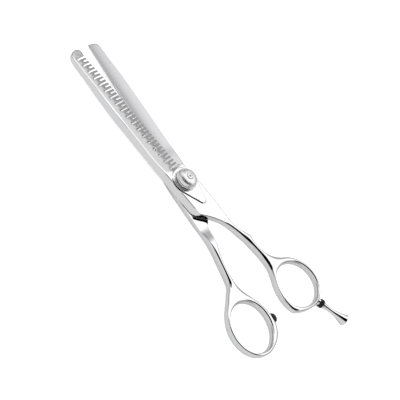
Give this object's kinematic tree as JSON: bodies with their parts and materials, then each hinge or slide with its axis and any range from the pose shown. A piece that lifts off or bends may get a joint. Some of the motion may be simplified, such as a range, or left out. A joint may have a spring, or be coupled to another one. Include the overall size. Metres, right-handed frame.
{
  "type": "thinning shears",
  "caption": "Hairdresser's thinning shears: a toothed half and a plain half on a tension-knob pivot, with a bumper and a screw-in finger rest.",
  "frame": {"origin": "on the pivot axis, on the flat face of the pivot screw's head, which the shears rest on", "axes": "+Z towards the tension knob, +Y along the toothed blade to its tip, +X to the finger ring's side"},
  "size_m": [0.0624, 0.1689, 0.0102],
  "materials": {
    "polished_steel": "mirror polished stainless steel",
    "turned_steel": "fine turned stainless steel",
    "spring_steel": "dull spring steel",
    "nylon": "natural nylon",
    "black_rubber": "matte black rubber",
    "grey_rubber": "matte dark grey rubber"
  },
  "bodies": {
    "toothed": {"toothed_half": "polished_steel", "pivot_bushing": "nylon", "glide_washer": "nylon", "base_washer": "turned_steel"},
    "plain": {"plain_half": "polished_steel", "pivot_screw": "turned_steel", "bumper": "grey_rubber", "spring_washer_lower": "spring_steel", "spring_washer_upper": "spring_steel"},
    "click_plate": {"click_plate": "spring_steel"},
    "knob": {"tension_knob": "turned_steel", "lock_screw": "turned_steel", "detent_ball": "turned_steel", "detent_spring": "spring_steel"},
    "rest_rings": {"rubber_ring_inner": "black_rubber", "rubber_ring_outer": "black_rubber"},
    "finger_rest": {"finger_rest": "polished_steel"}
  },
  "joints": [
    {"name": "blade_pivot", "type": "hinge", "parent": "toothed", "child": "plain", "pos_m": [0, 0, 0.00302], "axis": [0, 0, 1], "range_deg": [-66.7, 8.3]},
    {"name": "tension_travel", "type": "slide", "parent": "plain", "child": "click_plate", "axis": [0, 0, 1], "range_m": [-0.0002499, 0.0004999], "deforming": ["spring_washer_lower", "spring_washer_upper"]},
    {"name": "knob_turn", "type": "hinge", "parent": "click_plate", "child": "knob", "pos_m": [0, 0, 0.00302], "axis": [0, 0, 1], "range_deg": [-180, 360]},
    {"name": "rest_travel", "type": "slide", "parent": "toothed", "child": "rest_rings", "axis": [0.3338, -0.9426, 0], "range_m": [0, 0.00157]},
    {"name": "rest_turn", "type": "hinge", "parent": "rest_rings", "child": "finger_rest", "pos_m": [0.0137, -0.0663, 0.00302], "axis": [0.3338, -0.9426, 0], "range_deg": [0, 1260]}
  ],
  "couplings": [
    {"joint": "knob_turn", "follows": "tension_travel", "rad_per_m": 12566},
    {"joint": "rest_turn", "follows": "rest_travel", "rad_per_m": 13963}
  ]
}
